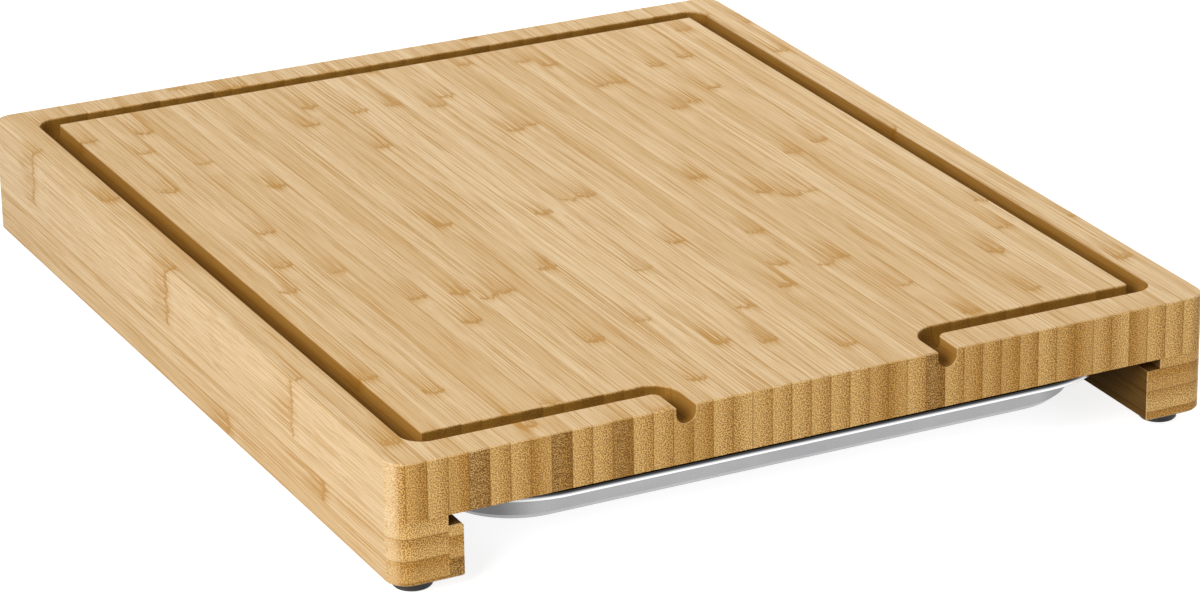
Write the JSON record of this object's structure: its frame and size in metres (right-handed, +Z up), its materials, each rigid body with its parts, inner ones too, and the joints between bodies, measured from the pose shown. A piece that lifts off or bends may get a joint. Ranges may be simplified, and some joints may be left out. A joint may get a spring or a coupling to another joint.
{
  "type": "cutting board with drawer trays",
  "caption": "Thick laminated bamboo cutting board on slotted side rails, with a juice groove, front spouts and shallow steel trays that slide out from under it.",
  "frame": {"origin": "on the worktop, under the middle of the board (bottom centre of the box round the whole part)", "axes": "+X to the right as the user faces the spouts, +Y from the front (spouts) to the back, +Z up"},
  "size_m": [0.375, 0.45, 0.0583],
  "materials": {
    "bamboo_panel": "oiled, matt",
    "bamboo_rail": "oiled, matt",
    "tray_steel": "satin, with a polished rim",
    "foot_rubber": "matt",
    "fastener_steel": "bright zinc"
  },
  "bodies": {
    "board": {"cutting_panel": "bamboo_panel", "left_rail": "bamboo_rail", "right_rail": "bamboo_rail", "foot_front_left": "foot_rubber", "foot_front_right": "foot_rubber", "foot_rear_left": "foot_rubber", "foot_rear_right": "foot_rubber", "foot_washer_front_left": "fastener_steel", "foot_washer_front_right": "fastener_steel", "foot_washer_rear_left": "fastener_steel", "foot_washer_rear_right": "fastener_steel", "foot_screw_front_left": "fastener_steel", "foot_screw_front_right": "fastener_steel", "foot_screw_rear_left": "fastener_steel", "foot_screw_rear_right": "fastener_steel"},
    "front_tray": {"front_tray": "tray_steel"},
    "rear_tray": {"rear_tray": "tray_steel"}
  },
  "joints": [
    {"name": "front_tray_slide", "type": "slide", "parent": "board", "child": "front_tray", "axis": [0, -1, 0], "range_m": [0, 0.27]},
    {"name": "rear_tray_slide", "type": "slide", "parent": "board", "child": "rear_tray", "axis": [0, 1, 0], "range_m": [0, 0.185]}
  ]
}
